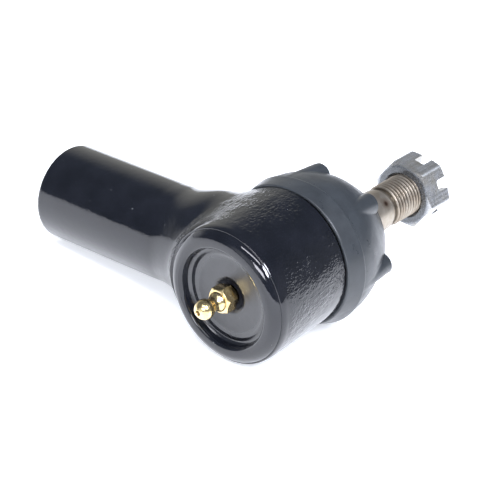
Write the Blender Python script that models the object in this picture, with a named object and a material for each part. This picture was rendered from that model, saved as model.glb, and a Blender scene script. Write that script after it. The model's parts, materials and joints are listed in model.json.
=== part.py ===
"""Tie rod end: a female-threaded socket housing that holds a greased ball stud.

Built in an assembly frame whose origin is the ball centre: +Y runs out along
the ball stud, -X runs out along the tube and +Z is square to both.  All the
parts hang from one empty, which lays the finished joint down on its side on
the plane z = 0, with the box of the whole part centred on the origin.
Lengths in the constants below are millimetres; the model itself is in metres.
"""
import math

import bmesh
import bpy
from mathutils import Matrix, Vector

# ---------------------------------------------------------------- constants
MM = 0.001
GAP = 0.35                    # running gap left between neighbouring parts

# socket housing
BARREL_R = 23.0               # outer radius of the socket barrel
RIM_FRONT_Y = -22.7           # highest point of the rolled-over rim
RIM_INNER_R = 16.5            # mouth of the recess in front of the end plate
BARREL_REAR_Y = 9.9           # step that the boot's cuff butts against
COLLAR_R = 21.2               # collar under the boot's cuff
COLLAR_REAR_Y = 17.3
PLATE_POCKET_R = 18.5
PLATE_POCKET_Y = (-19.5, -14.6)
SEAT_BORE_R = 16.2
SEAT_BORE_END_Y = -5.5
SOCKET_R = 14.3               # spherical socket that the upper bearing bears on
SOCKET_OPEN_DEG = 54.5        # half angle of the stud opening
OPENING_REAR_R = 16.6

# tube
TUBE_R = 16.2
TUBE_END_X = -88.4
TUBE_BORE_R = 10.6            # minor radius of the internal thread
TUBE_BORE_LENGTH = 58.0
TUBE_CHAMFER = 1.0
NECK_START_X = -33.0          # where the tube starts to swell into the barrel
NECK_R = 18.6

# ball stud
BALL_R = 12.0
NECK_STUD_R = 6.0
STUD_TAPER_TOP = (54.3, 6.95)  # small end of the taper: height, radius
TAPER_PER_MM = 0.0625          # 1 in 8 on diameter
STUD_THREAD_R = 7.0
STUD_END_Y = 73.5

# bearings
BEARING_R = (12.3, 14.0)
UPPER_BEARING_DEG = (58.0, 86.0)
LOWER_BEARING_DEG = (108.0, 168.0)

# end plate and what lies behind it
PLATE_R = 18.2
PLATE_Y = (-19.2, -16.6)
PLATE_HOLE_R = 3.4

# boot
LUG_COUNT = 6
LUG_FIRST_DEG = 106.5
LUG_END_Y = 32.6

# castle nut
NUT_ACROSS_FLATS = 20.64
NUT_Y = (67.66, 78.86)
NUT_BORE_R = 7.3
NUT_SLOT_WIDTH = 3.9
NUT_SLOT_DEPTH = 4.5
NUT_CORNER_DEG = 50.9

SEG_BIG = 48
SEG_MID = 36
SEG_SMALL = 24

# rough densities, kg/m3, used only to find how the part lies
STEEL = 7850.0
RUBBER = 1200.0
PLASTIC = 1400.0

# ---------------------------------------------------------------- clean scene
for old in list(bpy.data.objects):
    bpy.data.objects.remove(old, do_unlink=True)
for old in list(bpy.data.meshes):
    bpy.data.meshes.remove(old)

collection = bpy.context.scene.collection
assembly = bpy.data.objects.new("assembly", None)
collection.objects.link(assembly)

density = {}


def material(name, rgb, roughness, metallic=0.0, coat=0.0):
    mat = bpy.data.materials.new(name)
    mat.use_nodes = True
    shader = mat.node_tree.nodes["Principled BSDF"]
    shader.inputs["Base Color"].default_value = (*rgb, 1.0)
    shader.inputs["Roughness"].default_value = roughness
    shader.inputs["Metallic"].default_value = metallic
    shader.inputs["Coat Weight"].default_value = coat
    mat.diffuse_color = (*rgb, 1.0)
    return mat


MAT_PAINT = material("black_gloss_paint", (0.012, 0.012, 0.016), 0.12, 0.0, 0.6)
MAT_PLATE = material("black_paint_plate", (0.016, 0.016, 0.020), 0.16, 0.0, 0.6)
MAT_STEEL = material("machined_steel", (0.50, 0.46, 0.41), 0.34, 1.0)
MAT_NUT = material("nut_steel", (0.46, 0.45, 0.43), 0.42, 1.0)
MAT_GOLD = material("zinc_yellow", (0.83, 0.62, 0.25), 0.22, 1.0)
MAT_BALL = material("check_ball_steel", (0.62, 0.60, 0.56), 0.15, 1.0)
MAT_SPRING = material("spring_steel", (0.30, 0.30, 0.31), 0.35, 1.0)
MAT_RUBBER = material("boot_rubber", (0.045, 0.055, 0.065), 0.48)
MAT_SEAL = material("seal_rubber", (0.02, 0.02, 0.02), 0.6)
MAT_BEARING = material("bearing_acetal", (0.55, 0.53, 0.48), 0.4)
MAT_SEAT = material("seat_steel", (0.38, 0.38, 0.39), 0.4, 1.0)


def new_object(name, mesh, mat, rho=STEEL, smooth=35.0):
    if mat is not None:
        mesh.materials.append(mat)
    obj = bpy.data.objects.new(name, mesh)
    collection.objects.link(obj)
    obj.parent = assembly
    if smooth is not None:
        mesh.shade_smooth()
        mesh.set_sharp_from_angle(angle=math.radians(smooth))
    if rho is not None:
        density[name] = rho
    return obj


def guide(obj):
    """Marks a cutter or a helper solid, which is not part of the object."""
    obj.hide_render = True
    obj.display_type = 'WIRE'
    density.pop(obj.name, None)
    return obj


def turned_mesh(name, profile, segments, axis='Y', twist=0.0):
    """Spins a closed outline of (radius, height) points about an axis."""
    bm = bmesh.new()
    start = Matrix.Rotation(twist, 4, axis)
    verts = []
    for r, h in profile:
        if axis == 'Y':
            co = Vector((r * MM, h * MM, 0.0))
        else:                      # about X, the outline starts at +Z
            co = Vector((h * MM, 0.0, r * MM))
        verts.append(bm.verts.new(start @ co))
    edges = [bm.edges.new((verts[i], verts[(i + 1) % len(verts)]))
             for i in range(len(verts))
             if not (profile[i][0] < 1e-9 and profile[(i + 1) % len(verts)][0] < 1e-9)]
    bmesh.ops.spin(bm, geom=verts + edges, cent=(0, 0, 0),
                   axis=(0, 1, 0) if axis == 'Y' else (1, 0, 0),
                   angle=2 * math.pi, steps=segments, use_merge=True)
    bmesh.ops.remove_doubles(bm, verts=bm.verts, dist=1e-6)
    loose = [v for v in bm.verts if not v.link_faces]
    bmesh.ops.delete(bm, geom=loose, context='VERTS')
    bmesh.ops.recalc_face_normals(bm, faces=bm.faces)
    mesh = bpy.data.meshes.new(name)
    bm.to_mesh(mesh)
    bm.free()
    return mesh


def turned(name, profile, mat, segments=SEG_MID, rho=STEEL, axis='Y', twist=0.0):
    return new_object(name, turned_mesh(name, profile, segments, axis, twist), mat, rho)


def boolean(obj, other, operation='DIFFERENCE'):
    mod = obj.modifiers.new(operation.lower(), 'BOOLEAN')
    mod.object = other
    mod.operation = operation
    mod.solver = 'EXACT'
    return mod


def arc(radius, deg_from, deg_to, steps):
    """Points (radius from axis, height) on a sphere, by angle from the +Y pole."""
    out = []
    for i in range(steps + 1):
        t = math.radians(deg_from + (deg_to - deg_from) * i / steps)
        out.append((radius * math.sin(t), radius * math.cos(t)))
    return out


# ---------------------------------------------------------------- housing
barrel_outline = [
    (0.0, -10.0),
    (0.0, RIM_FRONT_Y + 0.3),
    (RIM_INNER_R + 0.6, RIM_FRONT_Y + 0.3),
    (18.6, RIM_FRONT_Y),
    (20.1, RIM_FRONT_Y + 0.35),
    (21.4, RIM_FRONT_Y + 1.3),
    (22.4, RIM_FRONT_Y + 2.8),
    (22.9, RIM_FRONT_Y + 4.6),
    (BARREL_R, RIM_FRONT_Y + 6.6),
    (BARREL_R, BARREL_REAR_Y - 0.8),
    (BARREL_R - 0.8, BARREL_REAR_Y),
    (COLLAR_R, BARREL_REAR_Y),
    (COLLAR_R, COLLAR_REAR_Y - 0.6),
    (COLLAR_R - 0.6, COLLAR_REAR_Y),
    (0.0, COLLAR_REAR_Y),
]
housing = turned("socket_housing", barrel_outline, MAT_PAINT, SEG_BIG)

tube_outline = [
    (0.0, TUBE_END_X),
    (TUBE_R - TUBE_CHAMFER, TUBE_END_X),
    (TUBE_R, TUBE_END_X + TUBE_CHAMFER),
    (TUBE_R, NECK_START_X),
    (TUBE_R + 0.5, NECK_START_X + 4.0),
    (TUBE_R + 1.4, NECK_START_X + 8.0),
    (NECK_R, NECK_START_X + 12.0),
    (NECK_R, -12.0),
    (0.0, -12.0),
]
tube = guide(turned("tube_solid", tube_outline, None, SEG_MID, axis='X'))

# the swell of the neck stops at the front rim and ramps down under the boot
neck_trim = guide(turned("neck_trim", [
    (27.0, BARREL_REAR_Y), (80.0, BARREL_REAR_Y + 36.0), (80.0, 90.0),
    (0.0, 90.0), (0.0, COLLAR_REAR_Y - 0.3), (COLLAR_R - 0.2, COLLAR_REAR_Y - 0.3),
    (COLLAR_R - 0.2, BARREL_REAR_Y)], None, SEG_BIG))
boolean(tube, neck_trim)
boolean(housing, tube, 'UNION')

cavity_outline = (
    [(0.0, RIM_FRONT_Y - 5.0), (RIM_INNER_R + 0.6, RIM_FRONT_Y - 5.0),
     (RIM_INNER_R + 0.6, RIM_FRONT_Y + 0.2), (RIM_INNER_R, RIM_FRONT_Y + 0.9),
     (RIM_INNER_R, PLATE_POCKET_Y[0]), (PLATE_POCKET_R, PLATE_POCKET_Y[0]),
     (PLATE_POCKET_R, PLATE_POCKET_Y[1]), (SEAT_BORE_R, PLATE_POCKET_Y[1]),
     (SEAT_BORE_R, SEAT_BORE_END_Y)]
    + arc(SOCKET_R, 90.0, SOCKET_OPEN_DEG, 6)
    + [(OPENING_REAR_R, COLLAR_REAR_Y), (OPENING_REAR_R, COLLAR_REAR_Y + 5.0),
       (0.0, COLLAR_REAR_Y + 5.0)])
cavity = guide(turned("cavity", cavity_outline, None, SEG_BIG))
boolean(housing, cavity)

bore_outline = [
    (0.0, TUBE_END_X - 5.0),
    (TUBE_BORE_R + 1.4, TUBE_END_X - 5.0),
    (TUBE_BORE_R + 1.4, TUBE_END_X),
    (TUBE_BORE_R, TUBE_END_X + 1.4),
    (TUBE_BORE_R, TUBE_END_X + TUBE_BORE_LENGTH),
    (0.0, TUBE_END_X + TUBE_BORE_LENGTH + 5.0),
]
bore = guide(turned("tube_bore", bore_outline, None, SEG_MID, axis='X'))
boolean(housing, bore)

# ---------------------------------------------------------------- end plate
plate_outline = [
    (PLATE_HOLE_R, PLATE_Y[0] + 0.2),
    (12.8, PLATE_Y[0] + 0.2), (13.4, PLATE_Y[0]), (14.6, PLATE_Y[0]),
    (15.2, PLATE_Y[0] + 0.2), (PLATE_R, PLATE_Y[0] + 0.2),
    (PLATE_R, PLATE_Y[1]), (PLATE_HOLE_R, PLATE_Y[1])]
turned("end_plate", plate_outline, MAT_PLATE, SEG_MID)

seal_section = []
for i in range(8):
    t = math.radians(45 * i + 22.5)
    seal_section.append((17.35 + 0.8 * math.cos(t), -15.6 + 0.66 * math.sin(t)))
turned("end_plate_seal", seal_section, MAT_SEAL, SEG_MID, RUBBER)

# dished spring washer that pushes the pressure seat up against the ball
turned("preload_spring", [
    (9.4, -14.1), (9.4, -13.1), (15.9, -15.3), (15.9, -16.3)],
    MAT_SPRING, SEG_MID)

seat_outline = ([(15.9, -12.8), (15.9, -5.9)]
                + [(SOCKET_R * math.sin(math.radians(a)), SOCKET_R * math.cos(math.radians(a)))
                   for a in (114.37, 122.0, 130.0, 138.0, 146.0, 153.5)])
turned("pressure_seat", seat_outline, MAT_SEAT, SEG_MID)


def shell(name, degs, steps, mat):
    outline = arc(BEARING_R[1], degs[0], degs[1], steps) \
        + arc(BEARING_R[0], degs[1], degs[0], steps)
    return turned(name, outline, mat, SEG_MID, PLASTIC)


shell("upper_bearing", UPPER_BEARING_DEG, 5, MAT_BEARING)
shell("lower_bearing", LOWER_BEARING_DEG, 7, MAT_BEARING)

# ---------------------------------------------------------------- ball stud
taper_y, taper_r = STUD_TAPER_TOP
taper_low_y = 29.0
taper_low_r = taper_r + (taper_y - taper_low_y) * TAPER_PER_MM
stud_outline = (
    [(0.0, -BALL_R * math.cos(math.radians(18.0)))]
    + arc(BALL_R, 162.0, 30.0, 11)
    + [(NECK_STUD_R, 12.0), (NECK_STUD_R, 19.5), (NECK_STUD_R + 0.6, 21.5),
       (taper_low_r - 0.3, 26.5), (taper_low_r, taper_low_y),
       (taper_r, taper_y), (taper_r - 0.65, taper_y + 0.75),
       (taper_r - 0.65, taper_y + 1.9), (STUD_THREAD_R, taper_y + 2.6),
       (STUD_THREAD_R, STUD_END_Y - 0.8), (STUD_THREAD_R - 0.9, STUD_END_Y),
       (0.0, STUD_END_Y)])
turned("ball_stud", stud_outline, MAT_STEEL, SEG_MID)

# ---------------------------------------------------------------- dust boot
LIP_R = taper_r + (taper_y - 38.4) * TAPER_PER_MM + GAP
boot_outline = [
    (0.0, 10.2), (24.6, 10.2), (24.9, 10.6), (25.5, 16.3), (25.2, 17.6),
    (24.5, 21.4), (23.2, 25.6), (21.3, 29.9), (18.9, 34.0), (16.6, 37.2),
    (15.6, 38.4), (0.0, 38.4)]
boot = turned("dust_boot", boot_outline, MAT_RUBBER, SEG_BIG, RUBBER)
for i in range(LUG_COUNT):
    ang = math.radians(LUG_FIRST_DEG - 360.0 / LUG_COUNT * i)
    low = Vector((22.3, 15.2))         # radius, height where the lug is born
    top = Vector((20.0, LUG_END_Y))
    bm = bmesh.new()
    n = 12
    rings = []
    for (r, h), rho in ((low, 2.7), (top, 3.35)):
        ring = []
        for k in range(n):
            t = 2 * math.pi * k / n
            er = Vector((math.cos(ang), 0, math.sin(ang)))
            et = Vector((-math.sin(ang), 0, math.cos(ang)))
            ring.append(bm.verts.new(
                ((r + rho * math.cos(t)) * er + rho * math.sin(t) * et
                 + Vector((0, h, 0))) * MM))
        rings.append(ring)
    for k in range(n):
        bm.faces.new((rings[0][k], rings[0][(k + 1) % n],
                      rings[1][(k + 1) % n], rings[1][k]))
    bm.faces.new(rings[0])
    bm.faces.new(rings[1])
    bmesh.ops.recalc_face_normals(bm, faces=bm.faces)
    mesh = bpy.data.meshes.new("lug_solid_%d" % (i + 1))
    bm.to_mesh(mesh)
    bm.free()
    lug = guide(new_object("lug_solid_%d" % (i + 1), mesh, None))
    boolean(boot, lug, 'UNION')
boot_core = guide(turned("boot_core", [
    (0.0, 5.0), (22.9, 5.0), (22.9, 17.6), (18.4, 17.6), (18.4, 19.0),
    (21.4, 19.4), (21.6, 20.6), (20.6, 24.8), (18.9, 28.6), (16.2, 33.2),
    (13.4, 36.2), (LIP_R + 0.15, 36.3), (LIP_R, 38.0), (LIP_R, 45.0),
    (0.0, 45.0)], None, SEG_BIG))
boolean(boot, boot_core)

turned("boot_rim_ring", [
    (COLLAR_R + GAP, 10.5), (22.6, 10.5), (22.6, 17.0), (COLLAR_R + GAP, 17.0)],
    MAT_SPRING, SEG_MID)

ring_r = taper_r + (taper_y - 34.8) * TAPER_PER_MM + GAP
turned("boot_lip_ring", [
    (ring_r, 34.7), (ring_r + 0.3, 34.3), (ring_r + 1.0, 34.3),
    (ring_r + 1.3, 34.7), (ring_r + 1.3, 35.4), (ring_r + 1.0, 35.8),
    (ring_r + 0.3, 35.8), (ring_r, 35.4)], MAT_SPRING, SEG_MID)

# ---------------------------------------------------------------- grease fitting
HEX_Y = (-24.0, -19.5)
body_outline = [
    (1.5, -15.6), (1.5, -31.3), (0.8, -32.3), (0.8, -33.1), (1.45, -33.1),
    (2.2, -32.4), (2.83, -31.6), (3.19, -30.7), (3.25, -30.0), (3.15, -29.2),
    (2.83, -28.4), (2.25, -27.65), (2.25, -26.2), (2.7, -25.2), (3.3, -24.2), (3.45, -23.9),
    (3.45, HEX_Y[1]), (3.1, HEX_Y[1]), (3.1, -16.0), (2.8, -15.6)]
fitting = turned("grease_fitting", body_outline, MAT_GOLD, SEG_SMALL)
bm = bmesh.new()
across = 7.94
hexes = []
for y, rr in ((HEX_Y[0], across / math.sqrt(3)), (HEX_Y[1], across / math.sqrt(3))):
    hexes.append([bm.verts.new(Vector((rr * math.cos(math.radians(60 * k + 12)), y,
                                       rr * math.sin(math.radians(60 * k + 12)))) * MM)
                  for k in range(6)])
for k in range(6):
    bm.faces.new((hexes[0][k], hexes[0][(k + 1) % 6], hexes[1][(k + 1) % 6], hexes[1][k]))
bm.faces.new(hexes[0])
bm.faces.new(hexes[1])
bmesh.ops.recalc_face_normals(bm, faces=bm.faces)
mesh = bpy.data.meshes.new("fitting_hex")
bm.to_mesh(mesh)
bm.free()
hex_solid = guide(new_object("fitting_hex", mesh, None, smooth=None))
hex_hole = guide(turned("fitting_hex_hole", [
    (0.0, -26.0), (2.9, -26.0), (2.9, -18.0), (0.0, -18.0)], None, SEG_SMALL))
boolean(hex_solid, hex_hole)
boolean(fitting, hex_solid, 'UNION')

turned("fitting_check_ball",
       [(0.0, -31.25 - 1.1)] + [(r, h - 31.25) for r, h in arc(1.1, 165.0, 15.0, 8)]
       + [(0.0, -31.25 + 1.1)], MAT_BALL, 20)

# coil spring behind the check ball
TURNS, WIRE_R, COIL_R = 4.0, 0.17, 1.0
SPRING_Y = (-29.7, -26.6)
bm = bmesh.new()
steps_per_turn, sides = 14, 6
count = int(TURNS * steps_per_turn)
rings = []
pitch = (SPRING_Y[1] - SPRING_Y[0]) / TURNS
for i in range(count + 1):
    a = 2 * math.pi * i / steps_per_turn
    centre = Vector((COIL_R * math.cos(a), SPRING_Y[0] + pitch * a / (2 * math.pi),
                     COIL_R * math.sin(a)))
    er = Vector((math.cos(a), 0, math.sin(a)))
    tangent = Vector((-math.sin(a) * COIL_R, pitch / (2 * math.pi),
                      math.cos(a) * COIL_R)).normalized()
    side = tangent.cross(er)
    rings.append([bm.verts.new((centre + WIRE_R * (math.cos(2 * math.pi * k / sides) * er
                                                   + math.sin(2 * math.pi * k / sides) * side)) * MM)
                  for k in range(sides)])
for a, b in zip(rings, rings[1:]):
    for k in range(sides):
        bm.faces.new((a[k], a[(k + 1) % sides], b[(k + 1) % sides], b[k]))
bm.faces.new(rings[0])
bm.faces.new(rings[-1])
bmesh.ops.recalc_face_normals(bm, faces=bm.faces)
mesh = bpy.data.meshes.new("fitting_spring")
bm.to_mesh(mesh)
bm.free()
new_object("fitting_spring", mesh, MAT_SPRING)

# ---------------------------------------------------------------- castle nut
corner_r = NUT_ACROSS_FLATS / math.sqrt(3)
bm = bmesh.new()
rings = []
for y in NUT_Y:
    rings.append([bm.verts.new(Vector((
        corner_r * math.cos(math.radians(NUT_CORNER_DEG + 60 * k)), y,
        corner_r * math.sin(math.radians(NUT_CORNER_DEG + 60 * k)))) * MM)
        for k in range(6)])
for k in range(6):
    bm.faces.new((rings[0][k], rings[0][(k + 1) % 6], rings[1][(k + 1) % 6], rings[1][k]))
bm.faces.new(rings[0])
bm.faces.new(rings[1])
bmesh.ops.recalc_face_normals(bm, faces=bm.faces)
mesh = bpy.data.meshes.new("castle_nut")
bm.to_mesh(mesh)
bm.free()
nut = new_object("castle_nut", mesh, MAT_NUT, STEEL, 25.0)

FLAT_R = NUT_ACROSS_FLATS / 2
nut_round = guide(turned("nut_round", [
    (0.0, NUT_Y[0]), (FLAT_R - 0.35, NUT_Y[0]), (corner_r + 0.4, NUT_Y[0] + 1.2),
    (corner_r + 0.4, NUT_Y[1] - 0.9), (FLAT_R + 0.1, NUT_Y[1]), (0.0, NUT_Y[1])],
    None, SEG_MID))
boolean(nut, nut_round, 'INTERSECT')
nut_bore = guide(turned("nut_bore", [
    (0.0, NUT_Y[0] - 2.0), (NUT_BORE_R + 0.9, NUT_Y[0] - 2.0), (NUT_BORE_R + 0.9, NUT_Y[0]),
    (NUT_BORE_R, NUT_Y[0] + 0.9), (NUT_BORE_R, NUT_Y[1] + 2.0), (0.0, NUT_Y[1] + 2.0)],
    None, SEG_MID))
boolean(nut, nut_bore)
for k in range(3):
    bm = bmesh.new()
    bmesh.ops.create_cube(bm, size=1.0)
    mesh = bpy.data.meshes.new("nut_slot_%d" % (k + 1))
    half = Matrix.Diagonal((40.0 * MM, (NUT_SLOT_DEPTH + 3.0) * MM, NUT_SLOT_WIDTH * MM, 1.0))
    turn = Matrix.Rotation(-math.radians(NUT_CORNER_DEG + 30.0 + 60.0 * k), 4, 'Y')
    lift = Matrix.Translation((0, (NUT_Y[1] - NUT_SLOT_DEPTH + (NUT_SLOT_DEPTH + 3.0) / 2) * MM, 0))
    bmesh.ops.transform(bm, matrix=turn @ lift @ half, verts=bm.verts)
    bm.to_mesh(mesh)
    bm.free()
    boolean(nut, guide(new_object(mesh.name, mesh, None, smooth=None)))


# ---------------------------------------------------------------- lying down
def lay_down():
    """Rests the joint on the facet of its hull that lies under its weight."""
    bpy.context.view_layer.update()
    graph = bpy.context.evaluated_depsgraph_get()
    hull = bmesh.new()
    total, moment = 0.0, Vector((0, 0, 0))
    points = []
    for obj in collection.objects:
        if obj.type != 'MESH' or obj.hide_render:
            continue
        mesh = obj.evaluated_get(graph).to_mesh()
        mesh.calc_loop_triangles()
        pts = [v.co.copy() for v in mesh.vertices]
        points.extend(pts)
        rho = density.get(obj.name, STEEL)
        for tri in mesh.loop_triangles:
            a, b, c = (pts[i] for i in tri.vertices)
            vol = a.dot(b.cross(c)) / 6.0 * rho
            total += vol
            moment += vol * (a + b + c) / 4.0
    centre = moment / total
    for p in points:
        hull.verts.new(p)
    bmesh.ops.convex_hull(hull, input=hull.verts, use_existing_faces=False)
    best = None
    for face in hull.faces:
        n = face.normal
        if n.z > -0.7:
            continue
        foot = centre + n * (face.verts[0].co - centre).dot(n)
        inside = True
        vs = [v.co for v in face.verts]
        for i in range(len(vs)):
            edge = vs[(i + 1) % len(vs)] - vs[i]
            if edge.cross(foot - vs[i]).dot(n) < -1e-9:
                inside = False
                break
        height = (face.verts[0].co - centre).dot(n)
        if inside and (best is None or height < best[0]):
            best = (height, n.copy())
    hull.free()
    tilt = best[1].rotation_difference(Vector((0, 0, -1))).to_matrix()
    tube_dir = tilt @ Vector((-1, 0, 0))
    yaw = math.pi - math.atan2(tube_dir.y, tube_dir.x)
    turn = (Matrix.Rotation(yaw, 3, 'Z') @ tilt)
    turned_points = [turn @ p for p in points]
    low = Vector([min(p[i] for p in turned_points) for i in range(3)])
    high = Vector([max(p[i] for p in turned_points) for i in range(3)])
    shift = Vector((-(low.x + high.x) / 2, -(low.y + high.y) / 2, -low.z))
    assembly.matrix_world = Matrix.Translation(shift) @ turn.to_4x4()
    bpy.context.view_layer.update()


lay_down()
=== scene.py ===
import json
import math

import bmesh
import bpy
import numpy as np
from mathutils import Matrix, Vector


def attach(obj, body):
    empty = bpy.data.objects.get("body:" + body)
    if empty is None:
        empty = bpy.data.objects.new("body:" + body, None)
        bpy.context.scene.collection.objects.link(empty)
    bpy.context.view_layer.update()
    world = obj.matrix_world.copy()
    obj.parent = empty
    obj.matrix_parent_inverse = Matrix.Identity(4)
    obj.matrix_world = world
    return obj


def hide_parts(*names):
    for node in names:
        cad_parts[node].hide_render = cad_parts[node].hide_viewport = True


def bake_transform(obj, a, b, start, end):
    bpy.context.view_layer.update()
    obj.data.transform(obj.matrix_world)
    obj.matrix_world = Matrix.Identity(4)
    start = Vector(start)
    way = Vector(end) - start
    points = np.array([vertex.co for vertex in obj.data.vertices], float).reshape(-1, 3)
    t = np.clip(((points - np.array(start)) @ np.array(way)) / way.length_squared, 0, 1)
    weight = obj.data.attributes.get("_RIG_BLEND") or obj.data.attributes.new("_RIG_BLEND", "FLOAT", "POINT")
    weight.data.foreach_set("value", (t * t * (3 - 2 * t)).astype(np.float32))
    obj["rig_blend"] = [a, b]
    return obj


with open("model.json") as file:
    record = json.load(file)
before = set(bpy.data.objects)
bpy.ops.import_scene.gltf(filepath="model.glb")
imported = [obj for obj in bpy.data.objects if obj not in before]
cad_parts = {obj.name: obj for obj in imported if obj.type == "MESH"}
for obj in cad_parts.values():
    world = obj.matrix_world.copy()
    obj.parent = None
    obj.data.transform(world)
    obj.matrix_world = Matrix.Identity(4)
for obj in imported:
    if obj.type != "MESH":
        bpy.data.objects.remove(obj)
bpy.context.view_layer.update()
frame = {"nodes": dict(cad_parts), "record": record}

# ------------------------------------------------------------------ the frame
# The assembly frame comes from the joints: ball centre, +Y along the stud,
# -X along the tube.  Meshes are drawn there in millimetres and then placed.
joints = {j["name"]: j for j in frame["record"]["behaviour"]["joints"]}
CENTRE = Vector(joints["stud_spin"]["pos_m"])
AX = Vector(joints["stud_tilt"]["axis"]).normalized()
AY = Vector(joints["stud_spin"]["axis"]).normalized()
AZ = Vector(joints["stud_swing"]["axis"]).normalized()
ROT = Matrix((AX, AY, AZ)).transposed()
PLACE = Matrix.Translation(CENTRE) @ ROT.to_4x4() @ Matrix.Scale(0.001, 4)
UNPLACE = PLACE.inverted()
P_np = np.array(PLACE)
U_np = np.array(UNPLACE)


def world_point(x, y, z):
    return tuple(PLACE @ Vector((x, y, z)))


# ------------------------------------------------------------------ meshes
def add_mesh(name, verts, faces):
    """verts in assembly millimetres, faces as a list or an (n, 4) array."""
    verts = np.asarray(verts, float)
    w = verts @ P_np[:3, :3].T + P_np[:3, 3]
    me = bpy.data.meshes.new(name)
    if isinstance(faces, np.ndarray):
        n, k = faces.shape
        me.vertices.add(len(w))
        me.vertices.foreach_set("co", w.astype(np.float32).ravel())
        me.loops.add(n * k)
        me.loops.foreach_set("vertex_index", faces.astype(np.int32).ravel())
        me.polygons.add(n)
        me.polygons.foreach_set("loop_start", np.arange(0, n * k, k, dtype=np.int32))
        me.update(calc_edges=True)
    else:
        me.from_pydata([tuple(v) for v in w], [], [tuple(f) for f in faces])
        me.update()
    me.validate()
    ob = bpy.data.objects.new(name, me)
    bpy.context.scene.collection.objects.link(ob)
    return ob


def outward(ob):
    bm = bmesh.new()
    bm.from_mesh(ob.data)
    bmesh.ops.recalc_face_normals(bm, faces=bm.faces)
    bm.to_mesh(ob.data)
    bm.free()
    return ob


def grid_faces(rows, cols, base=0, wrap=True):
    """Quads of a (rows x cols) sheet of points whose columns go round."""
    i = np.arange(rows - 1)[:, None]
    j = np.arange(cols if wrap else cols - 1)[None, :]
    a = i * cols + j
    b = i * cols + (j + 1) % cols
    return (np.stack([a, b, b + cols, a + cols], -1).reshape(-1, 4) + base)


def turned(name, profile, segs=160, axis='Y', closed=True):
    """A turned solid from (radius, height) points; radius 0 ends are poles."""
    prof = [(float(r), float(h)) for r, h in profile]
    ang = np.linspace(0, 2 * math.pi, segs, endpoint=False)
    ca, sa = np.cos(ang), np.sin(ang)
    poles = [i for i, p in enumerate(prof) if p[0] < 1e-9]
    verts, faces = [], []
    if poles:
        body = [p for p in prof if p[0] >= 1e-9]
        first, last = prof[0], prof[-1]
        for r, h in body:
            verts.append(np.stack([r * ca, np.full(segs, h), r * sa], 1))
        verts = np.concatenate(verts)
        q = grid_faces(len(body), segs)
        faces = [tuple(f) for f in q]
        n = len(verts)
        verts = np.vstack([verts, [0, first[1], 0], [0, last[1], 0]])
        for j in range(segs):
            faces.append((n, (j + 1) % segs, j))
            k = (len(body) - 1) * segs
            faces.append((n + 1, k + j, k + (j + 1) % segs))
    else:
        body = prof + [prof[0]]
        for r, h in prof:
            verts.append(np.stack([r * ca, np.full(segs, h), r * sa], 1))
        verts = np.concatenate(verts)
        q = grid_faces(len(body), segs)
        q = q % (len(prof) * segs)
        faces = [tuple(f) for f in q]
    if axis == 'X':
        verts = verts[:, [1, 2, 0]]
    return outward(add_mesh(name, verts, faces))


def boolean(ob, other, op='DIFFERENCE', keep=False):
    mod = ob.modifiers.new("cut", 'BOOLEAN')
    mod.object = other
    mod.operation = op
    mod.solver = 'EXACT'
    apply_all(ob)
    if not keep:
        me = other.data
        bpy.data.objects.remove(other, do_unlink=True)
        bpy.data.meshes.remove(me)
    return ob


def apply_all(ob):
    bpy.context.view_layer.update()
    graph = bpy.context.evaluated_depsgraph_get()
    me = bpy.data.meshes.new_from_object(ob.evaluated_get(graph))
    old = ob.data
    ob.modifiers.clear()
    ob.data = me
    bpy.data.meshes.remove(old)
    return ob


def local_coords(me):
    co = np.empty(len(me.vertices) * 3, np.float32)
    me.vertices.foreach_get("co", co)
    co = co.reshape(-1, 3).astype(float)
    return co @ U_np[:3, :3].T + U_np[:3, 3]


def stamp(me):
    """Writes each point's assembly coordinates, which every material reads."""
    for old in [a.name for a in me.attributes if a.name == "ac"]:
        me.attributes.remove(me.attributes[old])
    at = me.attributes.new("ac", 'FLOAT_VECTOR', 'POINT')
    at.data.foreach_set("vector", local_coords(me).astype(np.float32).ravel())


def finish_mesh(ob, mat, body, node=None, sharp=32.0):
    """Stamps assembly coordinates, shades, assigns and rides a piece."""
    me = ob.data
    me.materials.clear()
    me.materials.append(mat)
    for poly in me.polygons:
        poly.material_index = 0
    me.shade_smooth()
    if sharp is not None:
        me.set_sharp_from_angle(angle=math.radians(sharp))
    stamp(me)
    if body:
        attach(ob, body)
    if node:
        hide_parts(node)
    return ob


# value noise on a hashed lattice, the same each run
_rng = np.random.RandomState(11)
_perm = _rng.permutation(256)
_vals = _rng.uniform(-1, 1, 256)


def noise3(p):
    p = np.asarray(p, float)
    i = np.floor(p).astype(int)
    f = p - i
    f = f * f * f * (f * (f * 6 - 15) + 10)
    out = np.zeros(len(p))
    for dx in (0, 1):
        for dy in (0, 1):
            for dz in (0, 1):
                h = _perm[(i[:, 0] + dx) & 255]
                h = _perm[(h + i[:, 1] + dy) & 255]
                h = _perm[(h + i[:, 2] + dz) & 255]
                w = (np.where(dx, f[:, 0], 1 - f[:, 0])
                     * np.where(dy, f[:, 1], 1 - f[:, 1])
                     * np.where(dz, f[:, 2], 1 - f[:, 2]))
                out += w * _vals[h]
    return out


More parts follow.
